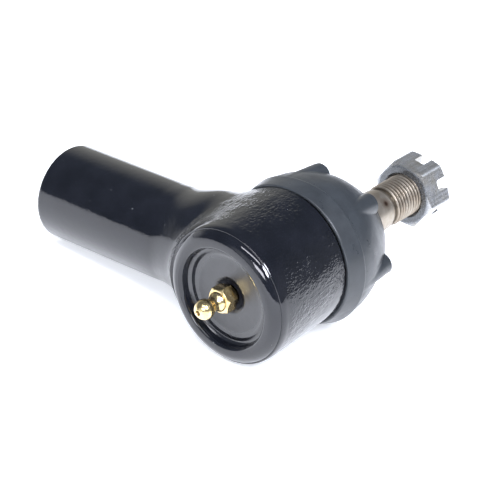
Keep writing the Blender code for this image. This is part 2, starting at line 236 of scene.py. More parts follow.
# ------------------------------------------------------------------ materials
class Nodes:
    def __init__(self, name):
        self.mat = bpy.data.materials.new(name)
        self.mat.use_nodes = True
        self.t = self.mat.node_tree
        self.bsdf = self.t.nodes["Principled BSDF"]
        self.ac = self.t.nodes.new("ShaderNodeAttribute")
        self.ac.attribute_name = "ac"

    def new(self, kind, **kw):
        n = self.t.nodes.new(kind)
        for k, v in kw.items():
            setattr(n, k, v)
        return n

    def link(self, a, b):
        self.t.links.new(a, b)

    def coords(self, scale=(1, 1, 1), offset=(0, 0, 0)):
        m = self.new("ShaderNodeMapping")
        m.inputs["Scale"].default_value = scale
        m.inputs["Location"].default_value = offset
        self.link(self.ac.outputs["Vector"], m.inputs["Vector"])
        return m.outputs["Vector"]

    def noise(self, scale, detail=2.0, rough=0.5, stretch=(1, 1, 1), offset=(0, 0, 0), distortion=0.0):
        n = self.new("ShaderNodeTexNoise")
        n.inputs["Scale"].default_value = scale
        n.inputs["Detail"].default_value = detail
        n.inputs["Roughness"].default_value = rough
        n.inputs["Distortion"].default_value = distortion
        self.link(self.coords(stretch, offset), n.inputs["Vector"])
        return n.outputs["Fac"]

    def ramp(self, fac, stops, interp='LINEAR'):
        r = self.new("ShaderNodeValToRGB")
        r.color_ramp.interpolation = interp
        els = r.color_ramp.elements
        while len(els) > 1:
            els.remove(els[-1])
        els[0].position = stops[0][0]
        els[0].color = stops[0][1]
        for p, c in stops[1:]:
            e = els.new(p)
            e.color = c
        self.link(fac, r.inputs["Fac"])
        return r.outputs["Color"]

    def grey(self, fac, stops):
        return self.ramp(fac, [(p, (v, v, v, 1)) for p, v in stops])

    def math(self, op, a, b=None, c=None, clamp=False):
        n = self.new("ShaderNodeMath", operation=op, use_clamp=clamp)
        for i, v in enumerate((a, b, c)):
            if v is None:
                continue
            if isinstance(v, (int, float)):
                n.inputs[i].default_value = v
            else:
                self.link(v, n.inputs[i])
        return n.outputs[0]

    def mix(self, fac, a, b, blend='MIX'):
        n = self.new("ShaderNodeMix", data_type='RGBA', blend_type=blend)
        for sock, v in ((n.inputs["Factor"], fac), (n.inputs[6], a), (n.inputs[7], b)):
            if isinstance(v, tuple):
                sock.default_value = v
            elif isinstance(v, (int, float)):
                sock.default_value = v
            else:
                self.link(v, sock)
        return n.outputs[2]

    def xyz(self):
        s = self.new("ShaderNodeSeparateXYZ")
        self.link(self.ac.outputs["Vector"], s.inputs[0])
        return s.outputs

    def bump(self, height, distance, strength=1.0, normal=None):
        b = self.new("ShaderNodeBump")
        b.inputs["Strength"].default_value = strength
        b.inputs["Distance"].default_value = distance
        self.link(height, b.inputs["Height"])
        if normal is not None:
            self.link(normal, b.inputs["Normal"])
        return b.outputs["Normal"]

    def set(self, **kw):
        for k, v in kw.items():
            sock = self.bsdf.inputs[k.replace("_", " ")]
            if isinstance(v, (int, float, tuple)):
                sock.default_value = v
            else:
                self.link(v, sock)
        return self.mat


def black_paint(name, pebbles):
    n = Nodes(name)
    dust = n.new("ShaderNodeTexVoronoi", feature='F1')
    dust.inputs["Scale"].default_value = 0.42
    dust.inputs["Randomness"].default_value = 1.0
    n.link(n.coords((1, 1, 1), (3.1, 7.7, 1.3)), dust.inputs["Vector"])
    size = n.noise(0.35, 1.0, 0.5, offset=(11, 3, 5))
    radius = n.math('MULTIPLY', n.math('SUBTRACT', size, 0.50), 0.45, clamp=True)
    speck = n.math('LESS_THAN', dust.outputs["Distance"], radius)
    film = n.grey(n.noise(0.11, 4.0, 0.6, offset=(5, 5, 5)), [(0.35, 0.0), (0.75, 1.0)])
    base = n.mix(film, (0.0030, 0.0036, 0.0058, 1), (0.0070, 0.0078, 0.0115, 1))
    base = n.mix(n.math('MULTIPLY', speck, 0.55), base, (0.26, 0.27, 0.28, 1))
    low, high = (0.05, 0.11) if pebbles else (0.19, 0.28)
    rough = n.grey(n.noise(0.25, 3.0, 0.6), [(0.3, low), (0.7, high)])
    rough = n.mix(speck, rough, (0.55, 0.55, 0.55, 1))
    peel = n.noise(0.55, 2.0, 0.55)
    normal = n.bump(peel, 0.00003 if not pebbles else 0.000045)
    fine = n.noise(2.6, 2.0, 0.5, offset=(2, 9, 4))
    normal = n.bump(fine, 0.0000035, normal=normal)
    if pebbles:
        # the as-forged skin of the barrel under the paint, strongest in patches
        xyz = n.xyz()
        rr = n.math('POWER', n.math('ADD', n.math('MULTIPLY', xyz[0], xyz[0]),
                                    n.math('MULTIPLY', xyz[2], xyz[2])), 0.5)
        on_barrel = n.math('MULTIPLY',
                           n.math('MULTIPLY', n.math('SUBTRACT', rr, 22.3), 3.0, clamp=True),
                           n.math('MULTIPLY', n.math('SUBTRACT', 26.5, rr), 1.0, clamp=True), clamp=True)
        on_barrel = n.math('MULTIPLY', on_barrel,
                           n.math('MULTIPLY', n.math('ADD', xyz[1], 17.5), 0.5, clamp=True), clamp=True)
        patch = n.grey(n.noise(0.085, 3.0, 0.6, offset=(4, 1, 8)), [(0.38, 0.25), (0.62, 1.0)])
        cells = n.new("ShaderNodeTexVoronoi", feature='SMOOTH_F1')
        cells.inputs["Scale"].default_value = 0.95
        cells.inputs["Smoothness"].default_value = 0.7
        n.link(n.coords((1, 0.62, 1)), cells.inputs["Vector"])
        amount = n.math('MULTIPLY', on_barrel, patch)
        height = n.math('MULTIPLY', cells.outputs["Distance"], amount)
        normal = n.bump(height, 0.00022, normal=normal)
        grit = n.new("ShaderNodeTexVoronoi", feature='SMOOTH_F1')
        grit.inputs["Scale"].default_value = 1.9
        grit.inputs["Smoothness"].default_value = 0.5
        n.link(n.coords((1, 0.8, 1), (3, 3, 3)), grit.inputs["Vector"])
        normal = n.bump(n.math('MULTIPLY', grit.outputs["Distance"], amount), 0.00020, normal=normal)
    if not pebbles:
        # the sunk centre round the fitting is rougher and reflects less
        xyz = n.xyz()
        rr = n.math('POWER', n.math('ADD', n.math('MULTIPLY', xyz[0], xyz[0]),
                                    n.math('MULTIPLY', xyz[2], xyz[2])), 0.5)
        ragged = n.math('MULTIPLY', n.math('SUBTRACT', n.noise(0.9, 2.0, 0.5, offset=(6, 6, 1)), 0.5), 1.6)
        dull = n.math('MULTIPLY', n.math('SUBTRACT', n.math('ADD', ragged, 5.6), rr), 1.8, clamp=True)
        disc = n.math('MULTIPLY', n.math('SUBTRACT', 12.8, rr), 0.9, clamp=True)
        satin = n.grey(n.noise(0.6, 4.0, 0.65, offset=(2, 2, 7)), [(0.3, 0.34), (0.7, 0.44)])
        rough = n.mix(disc, rough, satin)
        rough = n.mix(dull, rough, (0.62, 0.62, 0.62, 1))
        n.set(Specular_IOR_Level=n.grey(dull, [(0.0, 0.5), (1.0, 0.10)]))
    return n.set(Base_Color=base, Roughness=rough, IOR=1.50 if pebbles else 1.74, Normal=normal,
                 Coat_Weight=0.20 if pebbles else 0.0, Coat_Roughness=0.03, Coat_IOR=1.5)


def rubber(name, tone, rough=(0.42, 0.56)):
    n = Nodes(name)
    cloud = n.noise(0.12, 4.0, 0.6)
    r, g, b = tone
    base = n.mix(n.grey(cloud, [(0.3, 0.0), (0.7, 1.0)]), (r * 0.78, g * 0.78, b * 0.78, 1), (r * 1.2, g * 1.2, b * 1.2, 1))
    dust = n.grey(n.noise(1.9, 5.0, 0.75, offset=(8, 2, 2)), [(0.62, 0.0), (0.78, 1.0)])
    base = n.mix(n.math('MULTIPLY', dust, 0.20), base, (0.16, 0.17, 0.18, 1))
    rg = n.grey(n.noise(0.3, 3.0, 0.6, offset=(1, 1, 1)), [(0.3, rough[0]), (0.7, rough[1])])
    normal = n.bump(n.noise(0.5, 3.0, 0.6), 0.00005)
    normal = n.bump(n.noise(5.0, 2.0, 0.5), 0.000008, normal=normal)
    return n.set(Base_Color=base, Roughness=rg, IOR=1.52, Normal=normal)


def steel(name, tone, rough, lines, tint=None, lathe=0.000012, stain=0.0, metal=1.0, axial=False, root_shade=None, face_shade_and_corner_glint=None):
    n = Nodes(name)
    xyz = n.xyz()
    r, g, b = tone
    cloud = n.grey(n.noise(0.32, 4.0, 0.62), [(0.3, 0.0), (0.7, 1.0)])
    base = n.mix(cloud, (r * 0.80, g * 0.79, b * 0.76, 1), (r * 1.12, g * 1.12, b * 1.13, 1))
    if tint:
        where = n.grey(n.noise(0.2, 3.0, 0.7, offset=(7, 3, 1)), [(0.42, 0.0), (0.66, 1.0)])
        base = n.mix(n.math('MULTIPLY', where, 0.7), base, (*tint, 1))
    # turning or milling marks
    mark = n.new("ShaderNodeTexNoise", noise_dimensions='1D')
    mark.inputs["Scale"].default_value = lines
    mark.inputs["Detail"].default_value = 3.0
    run = xyz[1]
    if axial:
        run = n.math('ADD', n.math('MULTIPLY', xyz[0], 0.83), n.math('MULTIPLY', xyz[2], 1.31))
    n.link(n.math('ADD', run, n.math('MULTIPLY', n.noise(0.05, 1.0), 0.6)), mark.inputs["W"])
    base = n.mix(n.grey(mark.outputs["Fac"], [(0.35, 0.50 if axial else 0.22), (0.65, 0.0)]), base,
                 (r * 0.5, g * 0.48, b * 0.44, 1))
    rr = n.math('POWER', n.math('ADD', n.math('MULTIPLY', xyz[0], xyz[0]),
                                n.math('MULTIPLY', xyz[2], xyz[2])), 0.5)
    if root_shade:
        # painted shade: the thread's root grooves are darkened
        root_shade_mask = n.math('MULTIPLY', n.math('SUBTRACT', root_shade[0], rr), 2.2, clamp=True)
        root_shade_mask = n.math('MULTIPLY', root_shade_mask, n.math('MULTIPLY', n.math('SUBTRACT', xyz[1], root_shade[1]), 1.0, clamp=True), clamp=True)
        base = n.mix(root_shade_mask, base, (r * 0.22, g * 0.20, b * 0.17, 1))
    if face_shade_and_corner_glint:
        # painted shade on the bearing face underneath, painted highlight on the hex corners
        face = n.math('MULTIPLY', n.math('SUBTRACT', face_shade_and_corner_glint[1] + 0.5, xyz[1]), 2.5, clamp=True)
        base = n.mix(n.math('MULTIPLY', face, 0.75), base, (r * 0.36, g * 0.38, b * 0.41, 1))
        edge = n.math('MULTIPLY', n.math('SUBTRACT', rr, face_shade_and_corner_glint[0]), 5.0, clamp=True)
        base = n.mix(edge, base, (0.86, 0.87, 0.88, 1))
    rg = n.grey(n.noise(0.7, 4.0, 0.65, offset=(3, 3, 9)), [(0.3, rough[0]), (0.72, rough[1])])
    normal = n.bump(mark.outputs["Fac"], lathe)
    normal = n.bump(n.noise(3.2, 3.0, 0.6), 0.000012, normal=normal)
    if stain:
        # one small rust-brown dimple low on the shoulder
        d = n.new("ShaderNodeVectorMath", operation='DISTANCE')
        n.link(n.ac.outputs["Vector"], d.inputs[0])
        d.inputs[1].default_value = STAIN
        halo = n.grey(n.math('DIVIDE', d.outputs["Value"], 2.6), [(0.0, 1.0), (0.28, 0.9), (0.55, 0.35), (1.0, 0.0)])
        base = n.mix(n.math('MULTIPLY', halo, stain), base, (0.09, 0.035, 0.014, 1))
        core = n.grey(n.math('DIVIDE', d.outputs["Value"], 0.95), [(0.0, 1.0), (0.6, 0.7), (1.0, 0.0)])
        base = n.mix(core, base, (0.02, 0.009, 0.005, 1))
        normal = n.bump(n.math('SUBTRACT', 1.0, core), 0.00015, normal=normal)
    return n.set(Base_Color=base, Roughness=rg, Metallic=metal, Normal=normal)


def gold(name):
    n = Nodes(name)
    cloud = n.grey(n.noise(0.6, 3.0, 0.6), [(0.3, 0.0), (0.7, 1.0)])
    base = n.mix(cloud, (0.66, 0.48, 0.21, 1), (0.90, 0.74, 0.40, 1))
    iris = n.grey(n.noise(0.35, 2.0, 0.5, offset=(5, 0, 3)), [(0.5, 0.0), (0.7, 0.5)])
    base = n.mix(iris, base, (0.80, 0.66, 0.42, 1))
    rg = n.grey(n.noise(1.6, 3.0, 0.6), [(0.3, 0.15), (0.75, 0.30)])
    normal = n.bump(n.noise(2.2, 3.0, 0.55), 0.00002)
    return n.set(Base_Color=base, Roughness=rg, Metallic=1.0, Normal=normal)


# ------------------------------------------------------------------ dimensions
BARREL_R, RIM_Y, REAR_Y, COLLAR_R, COLLAR_Y = 23.0, -22.7, 9.9, 21.2, 17.3
TUBE_R, TUBE_END = 16.2, -88.4
SOCKET_R = 14.3
STUD_TAPER_Y, STUD_TAPER_R = 54.3, 6.95
THREAD_PITCH = 1.411
STAIN = (4.9, 52.0, 4.5)
FLOOR_GLOW = 0.55
SKY_BASE = (0.175, 0.200, 0.245)
SKY = (
    (-97, 8, 6, 26, (0.80, 0.82, 0.87)),
    (145, 6, 8, 38, (0.46, 0.435, 0.36)),
    (-175, -5, 6, 26, (0.8, 0.8, 0.82)),
    (20, -6, 20, 60, (0.20, 0.20, 0.21)),
)

mat_paint = black_paint("paint_forging", True)
mat_plate = black_paint("paint_plate", False)
mat_rubber = rubber("boot_rubber", (0.0285, 0.0325, 0.0370), (0.27, 0.40))
# the stud's thread root grooves get painted shade
mat_stud = steel("stud_steel", (0.43, 0.385, 0.325), (0.32, 0.46), 5.0, tint=(0.33, 0.265, 0.20), stain=0.85, metal=0.85,
                 root_shade=(6.86, 55.2))
# the nut gets painted shade underneath and a painted highlight on its corners
mat_nut = steel("nut_steel", (0.52, 0.53, 0.545), (0.20, 0.36), 1.5, tint=(0.42, 0.38, 0.30), metal=0.85,
                axial=True, face_shade_and_corner_glint=(11.62, 67.66))
mat_gold = gold("zinc_yellow")
mat_ball = steel("check_ball", (0.60, 0.58, 0.54), (0.10, 0.22), 3.0)
mat_dark_steel = steel("dark_steel", (0.30, 0.30, 0.31), (0.30, 0.48), 2.0)
mat_seat = steel("seat_steel", (0.38, 0.38, 0.39), (0.32, 0.50), 2.0)
mat_seal = rubber("seal_rubber", (0.02, 0.02, 0.02))
n = Nodes("bearing_plastic")
mat_bearing = n.set(
    Base_Color=n.mix(n.grey(n.noise(0.4, 3.0), [(0.3, 0.0), (0.7, 1.0)]), (0.48, 0.46, 0.41, 1), (0.60, 0.58, 0.52, 1)),
    Roughness=n.grey(n.noise(0.9, 2.0), [(0.3, 0.34), (0.7, 0.46)]),
    Normal=n.bump(n.noise(3.0, 2.0), 0.00001))


# ------------------------------------------------------------------ housing
def sd_round_corner(u, v, r):
    """Distance to the quadrant u < 0, v < 0 whose corner is rounded by r."""
    a, b = u + r, v + r
    return np.hypot(np.maximum(a, 0), np.maximum(b, 0)) + np.minimum(np.maximum(a, b), 0) - r


def smin(a, b, k):
    h = np.maximum(k - np.abs(a - b), 0) / k
    return np.minimum(a, b) - h * h * h * k / 6.0


def body_sdf(p):
    x, y, z = p[:, 0], p[:, 1], p[:, 2]
    r = np.hypot(x, z)
    barrel = np.maximum(sd_round_corner(r - BARREL_R, RIM_Y - y, 4.6), y - 18.6)
    rho = np.hypot(y, z)
    s = np.clip((x + 37.0) / 15.0, 0, 1)
    swell = 2.3 * s * s * (3 - 2 * s)                    # the neck swells before the barrel
    tube = np.maximum(sd_round_corner(rho - TUBE_R - swell, TUBE_END - x, 0.9), x + 6.0)
    return smin(barrel, tube, 8.5)


def surface_nets(sdf, low, high, step):
    """Quads along the zero level of sdf, one point in each cell it crosses."""
    axes = [np.arange(l, h + step, step) for l, h in zip(low, high)]
    nx, ny, nz = (len(a) for a in axes)
    g = np.stack(np.meshgrid(*axes, indexing='ij'), -1).reshape(-1, 3)
    d = np.concatenate([sdf(c) for c in np.array_split(g, 12)]).reshape(nx, ny, nz)
    inside = d < 0
    cell_sum = np.zeros((nx - 1, ny - 1, nz - 1, 3))
    cell_n = np.zeros((nx - 1, ny - 1, nz - 1))
    for axis in range(3):
        a = [slice(None)] * 3
        b = [slice(None)] * 3
        a[axis] = slice(0, -1)
        b[axis] = slice(1, None)
        da, db = d[tuple(a)], d[tuple(b)]
        cross = inside[tuple(a)] != inside[tuple(b)]
        idx = np.argwhere(cross)
        t = da[cross] / (da[cross] - db[cross])
        pos = idx.astype(float)
        pos[:, axis] += t
        others = [k for k in range(3) if k != axis]
        for o1 in (0, -1):
            for o2 in (0, -1):
                c = idx.copy()
                c[:, others[0]] += o1
                c[:, others[1]] += o2
                ok = ((c >= 0) & (c < np.array([nx - 1, ny - 1, nz - 1]))).all(1)
                np.add.at(cell_sum, tuple(c[ok].T), pos[ok])
                np.add.at(cell_n, tuple(c[ok].T), 1)
    used = cell_n > 0
    index = -np.ones(cell_n.shape, int)
    index[used] = np.arange(used.sum())
    pts = cell_sum[used] / cell_n[used][:, None] * step + np.array(low)
    quads = []
    for axis in range(3):
        others = [(axis + 1) % 3, (axis + 2) % 3]
        a = [slice(None)] * 3
        b = [slice(None)] * 3
        a[axis] = slice(0, -1)
        b[axis] = slice(1, None)
        ia, ib = inside[tuple(a)], inside[tuple(b)]
        idx = np.argwhere(ia != ib)
        flip = ia[ia != ib]
        q = []
        for o1, o2 in ((0, 0), (-1, 0), (-1, -1), (0, -1)):
            c = idx.copy()
            c[:, others[0]] += o1
            c[:, others[1]] += o2
            q.append(index[tuple(c.T)])
        q = np.stack(q, 1)
        q[~flip] = q[~flip][:, ::-1]
        quads.append(q)
    return pts, np.concatenate(quads)


def gradient(sdf, p, e=0.02):
    g = np.stack([sdf(p + e * v) - sdf(p - e * v) for v in np.eye(3)], 1)
    return g / np.maximum(np.linalg.norm(g, axis=1, keepdims=True), 1e-9)


STEP = 0.62
pts, quads = surface_nets(body_sdf, (-90.2, -24.6, -24.8), (24.9, 20.4, 24.9), STEP)
for _ in range(6):
    g = gradient(body_sdf, pts)
    pts = pts - g * np.clip(body_sdf(pts), -0.5, 0.5)[:, None]
# relax along the surface, so that the quads are even, then project again
edges = np.concatenate([quads[:, [0, 1]], quads[:, [1, 2]], quads[:, [2, 3]], quads[:, [3, 0]]])
for _ in range(5):
    s = np.zeros_like(pts)
    c = np.zeros(len(pts))
    np.add.at(s, edges[:, 0], pts[edges[:, 1]])
    np.add.at(s, edges[:, 1], pts[edges[:, 0]])
    np.add.at(c, edges[:, 0], 1)
    np.add.at(c, edges[:, 1], 1)
    g = gradient(body_sdf, pts)
    delta = s / c[:, None] - pts
    delta -= (delta * g).sum(1, keepdims=True) * g
    pts = pts + 0.6 * delta
    pts = pts - g * np.clip(body_sdf(pts), -0.3, 0.3)[:, None]
# the forged skin: shallow waves on the barrel, almost none on the drawn tube
g = gradient(body_sdf, pts)
rr = np.hypot(pts[:, 0], pts[:, 2])
on_barrel = np.clip((pts[:, 1] + 19.5) / 3.0, 0, 1) * np.clip((pts[:, 0] + 18.0) / 8.0, 0, 1)
wave = noise3(pts * 0.16 + 3.3) * 0.085 + noise3(pts * np.array([0.9, 0.55, 0.9]) + 9.1) * 0.030 \
    * np.clip(noise3(pts * 0.09 + 40.0) * 2.0 + 0.7, 0.1, 1.0)
tube_wave = noise3(pts * np.array([0.05, 0.12, 0.12]) + 7.7) * 0.009
flat_front = np.clip((pts[:, 1] - RIM_Y - 0.3) / 2.0, 0, 1)
pts = pts + g * (wave * on_barrel + tube_wave * (1 - on_barrel) * flat_front)[:, None]
# the forging isn't quite true: its rear edge sits a little high on the rim's axis
LEAN_X, LEAN_Z = -0.45, 1.5
lean = np.clip((pts[:, 1] + 20.0) / 30.0, 0, 1.1) * np.clip((pts[:, 0] + 42.0) / 24.0, 0, 1)
pts[:, 0] += LEAN_X * lean
pts[:, 2] += LEAN_Z * lean
housing = outward(add_mesh("housing_body", pts, quads))

SEG = 192
rear = turned("cut_rear", [
    (0.0, COLLAR_Y), (COLLAR_R - 0.6, COLLAR_Y), (COLLAR_R, COLLAR_Y - 0.6), (COLLAR_R, REAR_Y),
    (BARREL_R - 0.55, REAR_Y), (BARREL_R - 0.28, REAR_Y - 0.07), (BARREL_R - 0.08, REAR_Y - 0.24),
    (BARREL_R + 0.10, REAR_Y - 0.52), (BARREL_R + 0.5, REAR_Y - 0.52), (BARREL_R + 1.2, REAR_Y),
    (27.0, REAR_Y), (29.0, REAR_Y + 0.7), (90.0, REAR_Y + 42.0), (90.0, 90.0), (0.0, 90.0)], SEG)
shift = ROT @ Vector((LEAN_X, 0, LEAN_Z)) * 0.001
rear.data.transform(Matrix.Translation(shift))
boolean(housing, rear)


def ball_arc(radius, a0, a1, steps):
    return [(radius * math.sin(math.radians(a0 + (a1 - a0) * i / steps)),
             radius * math.cos(math.radians(a0 + (a1 - a0) * i / steps))) for i in range(steps + 1)]


cavity = turned("cut_cavity", [
    (0.0, -60.0), (18.0, -60.0), (18.0, RIM_Y - 0.6), (17.6, RIM_Y - 0.02), (17.2, RIM_Y + 0.07),
    (16.86, RIM_Y + 0.28), (16.62, RIM_Y + 0.62), (16.52, RIM_Y + 1.05), (16.5, RIM_Y + 1.5),
    (16.5, -19.5), (18.5, -19.5), (18.5, -14.6), (16.2, -14.6), (16.2, -5.5)]
    + ball_arc(SOCKET_R, 90.0, 54.5, 12)
    + [(16.6, COLLAR_Y), (16.6, 60.0), (0.0, 60.0)], SEG)
boolean(housing, cavity)

# the rolled rim sits a little lower than the forged barrel, behind a crisp step
def rim_arc(angle, radius):
    a = math.radians(angle)
    return (18.4 + radius * math.sin(a), RIM_Y + 4.6 - radius * math.cos(a))


CREASE = 61.0
roll = [rim_arc(6.0 + (CREASE - 6.0) * i / 16.0, 4.63 - 0.37 * (i / 16.0) ** 1.1) for i in range(17)]
roll += [rim_arc(CREASE + 0.4, 4.36), rim_arc(CREASE + 1.0, 4.47), rim_arc(CREASE + 2.2, 4.56),
         rim_arc(CREASE + 4.2, 4.63), rim_arc(CREASE + 5.0, 6.2)]
roll += [rim_arc(CREASE + 5.0 - (CREASE - 1.0) * i / 6.0, 6.2) for i in range(1, 7)]
boolean(housing, turned("cut_roll", roll, SEG))


def threaded_rod(name, minor, major, pitch, h0, h1, cols, per_pitch, axis='Y', sign=1.0, taper_in=0.0, crest=0.16):
    """A closed rod with a helical vee thread, drawn as radius over angle and height."""
    rows = int((h1 - h0) / pitch * per_pitch) + 1
    h = np.linspace(h0, h1, rows)
    a = np.linspace(0, 2 * math.pi, cols, endpoint=False)
    ph = (h[:, None] / pitch - sign * a[None, :] / (2 * math.pi)) % 1.0
    tri = 1.0 - np.abs(ph * 2 - 1)                       # 0 at root, 1 at crest
    prof = np.clip((tri - 0.14) / (1.0 - 0.14 - crest), 0, 1)
    rad = minor + (major - minor) * prof
    if taper_in:
        fade = np.clip((h1 - h) / taper_in, 0, 1)[:, None]
        rad = np.minimum(rad, minor - 0.2 + (major - minor + 0.2) * fade)
    v = np.stack([rad * np.cos(a), np.repeat(h[:, None], cols, 1), rad * np.sin(a)], -1).reshape(-1, 3)
    f = [tuple(q) for q in grid_faces(rows, cols)]
    n0 = len(v)
    v = np.vstack([v, [0, h0, 0], [0, h1, 0]])
    for j in range(cols):
        f.append((n0, (j + 1) % cols, j))
        k = (rows - 1) * cols
        f.append((n0 + 1, k + j, k + (j + 1) % cols))
    if axis == 'X':
        v = v[:, [1, 2, 0]]
    return outward(add_mesh(name, v, f))


bore = turned("cut_bore", [
    (0.0, TUBE_END - 5.0), (12.9, TUBE_END - 5.0), (12.9, TUBE_END - 0.9), (10.62, TUBE_END + 1.5),
    (10.62, TUBE_END + 58.0), (0.0, TUBE_END + 61.0)], SEG, axis='X')
boolean(housing, bore)
tap = threaded_rod("cut_thread", 10.45, 11.75, 1.814, TUBE_END - 1.0, TUBE_END + 50.0, 96, 10, axis='X')
boolean(housing, tap)
housing.name = "housing"
finish_mesh(housing, mat_paint, "socket", "socket_housing", 30.0)

# ------------------------------------------------------------------ end plate
plate_y = -19.2
prof = [(3.4, plate_y + 1.1)]
for i in range(90):
    r = 3.4 + (16.44 - 3.4) * (i + 1) / 90.0
    y = plate_y + 0.25 - 0.10 * math.exp(-((r - 5.2) / 1.2) ** 2)
    y += -0.26 * math.exp(-((r - 14.0) / 0.7) ** 2)       # low concentric ridge
    y += -0.85 * max(0.0, (r - 15.3) / 1.14) ** 2.2       # paint and crimp run up the wall
    t = min(1.0, max(0.0, (r - 4.5) / 2.0))
    y += 0.95 * (1 - t * t * (3 - 2 * t))                 # sunk boss round the fitting
    prof.append((r, y))
prof += [(16.46, plate_y + 0.12), (18.2, plate_y + 0.12), (18.2, -16.6), (3.4, -16.6)]
plate = turned("plate", prof, SEG)
finish_mesh(plate, mat_plate, "socket", "end_plate", 35.0)

# ------------------------------------------------------------------ grease fitting
head = [(1.45, -15.6), (1.45, -31.0), (0.80, -32.25), (0.78, -32.8)]
head += [(0.90, -33.08), (1.15, -33.1)]
for i in range(21):                                       # ball-shaped coupling head
    a = math.radians(22 + 112 * i / 20.0)
    head.append((3.27 * math.sin(a), -30.0 - 3.27 * math.cos(a)))
head += [(2.28, -27.45), (2.2, -27.0), (2.22, -26.2), (2.45, -25.6), (2.9, -25.0), (3.25, -24.4),
         (3.3, -23.2), (3.3, -19.6), (3.1, -19.45), (3.1, -16.0), (2.8, -15.6)]
fit = turned("fitting", head, 96)
across = 7.94
cor = across / math.sqrt(3)
v, f = [], []
for y in (-24.05, -19.5):
    for k in range(6):
        a = math.radians(60 * k + 12)
        v.append((cor * math.cos(a), y, cor * math.sin(a)))
f = [tuple(range(6)), tuple(range(6, 12))] + [(k, (k + 1) % 6, 6 + (k + 1) % 6, 6 + k) for k in range(6)]
hexa = outward(add_mesh("fit_hex", v, f))
rounder = turned("fit_round", [
    (0.0, -24.05), (3.45, -24.05), (3.8, -23.95), (cor + 0.25, -23.0), (cor + 0.25, -19.8),
    (4.0, -19.5), (0.0, -19.5)], 96)
boolean(hexa, rounder, 'INTERSECT')
hole = turned("fit_hole", [(0.0, -27.0), (2.9, -27.0), (2.9, -18.0), (0.0, -18.0)], 64)
boolean(hexa, hole)
boolean(fit, hexa, 'UNION')
bev = fit.modifiers.new("bevel", 'BEVEL')
bev.width = 0.00012
bev.segments = 2
bev.limit_method = 'ANGLE'
bev.angle_limit = math.radians(40)
apply_all(fit)
fit.name = "fitting"
finish_mesh(fit, mat_gold, "socket", "grease_fitting", 40.0)

ball = turned("fitting_ball", [(0.0, -32.35)] + [(r, h - 31.25) for r, h in ball_arc(1.1, 172.0, 8.0, 20)]
              + [(0.0, -30.15)], 48)
finish_mesh(ball, mat_ball, "check_ball", "fitting_check_ball", 60.0)

coil_mesh = frame["nodes"]["fitting_spring"].data.copy()
coil_mesh.name = "fitting_coil"
coil = bpy.data.objects.new("fitting_coil", coil_mesh)
bpy.context.scene.collection.objects.link(coil)
finish_mesh(coil, mat_dark_steel, None, "fitting_spring", 40.0)
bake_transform(coil, "check_ball", "socket", world_point(0, -29.7, 0), world_point(0, -26.8, 0))

# ------------------------------------------------------------------ dust boot
LUGS, LUG_FIRST, LUG_END = 6, 106.5, 32.6
BAND = [(10.05, 23.70), (10.2, 23.92), (10.5, 24.05), (16.1, 25.36), (16.45, 25.32), (16.6, 25.2), (16.7, 24.98)]
CROWN = [(16.7, 24.98), (17.6, 24.96), (21.4, 24.5), (25.6, 23.35),
         (29.9, 21.5), (34.0, 19.1), (36.6, 17.05), (37.3, 16.5), (37.55, 15.95), (37.8, 15.95), (37.95, 16.0),
         (38.25, 15.7), (38.4, 15.2)]
INNER = [(17.6, 22.9), (19.0, 21.6), (20.6, 21.6), (24.8, 20.6), (28.6, 18.9), (33.2, 16.2), (36.2, 13.4)]


def spline(points, y):
    """Monotone cubic through (height, radius) points."""
    h = np.array([p[0] for p in points], float)
    r = np.array([p[1] for p in points], float)
    d = np.diff(r) / np.diff(h)
    m = np.concatenate([[d[0]], np.where(d[:-1] * d[1:] > 0, 2 * d[:-1] * d[1:] / (d[:-1] + d[1:] + 1e-12), 0), [d[-1]]])
    k = np.clip(np.searchsorted(h, y) - 1, 0, len(h) - 2)
    t = (y - h[k]) / (h[k + 1] - h[k])
    w = h[k + 1] - h[k]
    return ((2 * t ** 3 - 3 * t ** 2 + 1) * r[k] + (t ** 3 - 2 * t ** 2 + t) * w * m[k]
            + (-2 * t ** 3 + 3 * t ** 2) * r[k + 1] + (t ** 3 - t ** 2) * w * m[k + 1])


COLS = 480
th = np.linspace(0, 2 * math.pi, COLS, endpoint=False)


def outer_radius(y):
    """Outer radius of the boot, at every angle, at one height; a lug stands proud."""
    if y <= 16.7:
        base = float(np.interp(y, [p[0] for p in BAND], [p[1] for p in BAND]))
    else:
        base = float(spline(CROWN, np.array([y]))[0])
    out = np.full(COLS, base)
    if 15.5 < y <= LUG_END + 0.16:
        s = (y - 15.2) / (LUG_END - 15.2)
        rc = 22.3 + (20.1 - 22.3) * s
        rho = 2.95 + (3.55 - 2.95) * s
        if y > LUG_END:                      # rounded end of the lug
            rho -= 0.12 + 0.8 * (y - LUG_END)
        for i in range(LUGS):
            a0 = math.radians(LUG_FIRST - 360.0 / LUGS * i)
            d = (th - a0 + math.pi) % (2 * math.pi) - math.pi
            s2 = rho ** 2 - (rc * np.sin(d)) ** 2
            r = np.where((s2 > 0) & (np.abs(d) < 0.5), rc * np.cos(d) + np.sqrt(np.maximum(s2, 0)), 0.0)
            k = 0.32
            h = np.clip(k - np.abs(out - r), 0, None) / k
            out = np.maximum(out, r) + h * h * k / 4.0 * (r > 0)
    return out


